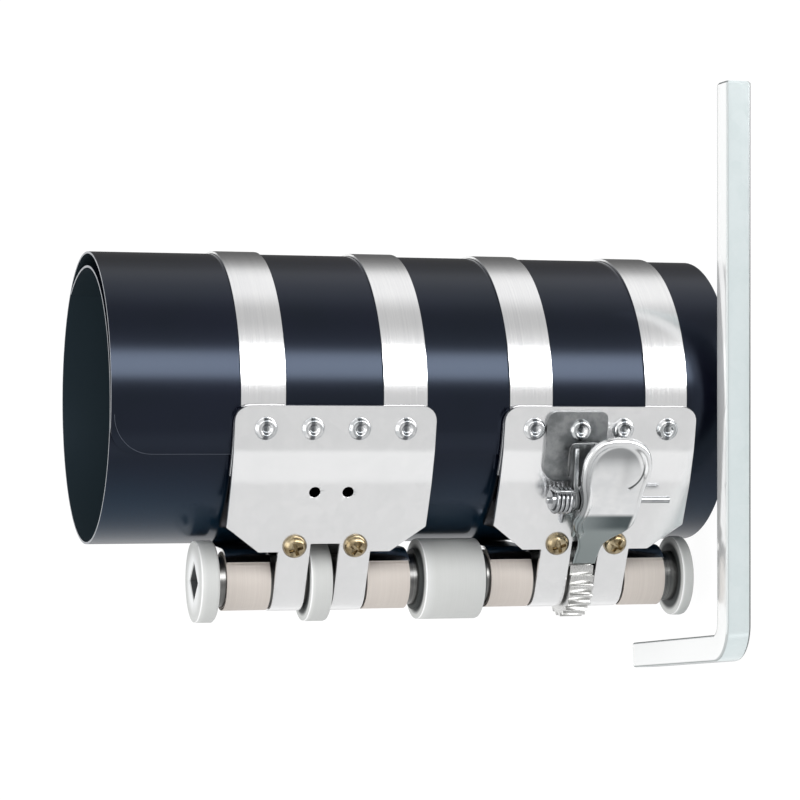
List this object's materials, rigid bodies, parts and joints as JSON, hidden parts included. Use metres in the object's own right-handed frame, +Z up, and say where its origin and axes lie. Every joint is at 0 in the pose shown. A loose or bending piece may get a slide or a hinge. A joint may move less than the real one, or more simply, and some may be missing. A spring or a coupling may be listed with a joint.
{
  "type": "piston ring compressor",
  "caption": "Tall coiled-sleeve piston ring compressor with steel tightening bands wound by a ratchet arbor, release pawl and loose square key.",
  "frame": {"origin": "on the bore axis, in the plane of the lower rim that stands on the engine block", "axes": "+Z up along the bore, -Y the side that the clamp plates face, -X the side of the winding arbor"},
  "size_m": [0.1442, 0.083, 0.15],
  "materials": {
    "blued_spring_steel": "blue-black oxide, satin",
    "band_steel": "bright satin strip",
    "coil_steel": "bright strip, slightly warm",
    "zinc_plate": "bright zinc plate",
    "rivet_steel": "bright zinc plate",
    "yellow_zinc": "yellow zinc plate",
    "turned_steel": "turned, zinc plate",
    "bracket_steel": "plain grey sheet steel",
    "lever_steel": "polished",
    "spring_wire": "drawn wire",
    "key_zinc": "bluish zinc plate"
  },
  "bodies": {
    "frame": {"sleeve": "blued_spring_steel", "band_1": "band_steel", "band_2": "band_steel", "band_3": "band_steel", "band_4": "band_steel", "upper_clamp_plate": "zinc_plate", "lower_clamp_plate": "zinc_plate", "upper_plate_rivets": "rivet_steel", "lower_plate_rivets": "rivet_steel", "upper_plate_screws": "yellow_zinc", "lower_plate_screws": "yellow_zinc", "pawl_bracket": "bracket_steel", "bracket_rivets": "rivet_steel", "pawl_pin": "rivet_steel", "pawl_spring": "spring_wire"},
    "arbor": {"arbor_shaft": "turned_steel", "top_flange": "turned_steel", "bottom_flange": "turned_steel", "middle_collar": "turned_steel", "guide_disc": "turned_steel", "ratchet_wheel": "turned_steel", "band_coil_1": "coil_steel", "band_coil_2": "coil_steel", "band_coil_3": "coil_steel", "band_coil_4": "coil_steel"},
    "pawl": {"pawl_lever": "lever_steel"},
    "key": {"drive_key": "key_zinc"}
  },
  "joints": [
    {"name": "arbor_turn", "type": "hinge", "parent": "frame", "child": "arbor", "pos_m": [-0.04082, -0.01502, 0.06], "axis": [0, 0, 1], "continuous": true},
    {"name": "pawl_lift", "type": "hinge", "parent": "frame", "child": "pawl", "pos_m": [-0.02123, -0.03568, 0.0343], "axis": [0, 0, 1], "range_deg": [-4, 15], "stiffness_Nm_per_rad": 0.02},
    {"name": "key_slide", "type": "slide", "parent": "frame", "child": "key", "axis": [0, -1, 0], "range_m": [0, 0.2]}
  ]
}
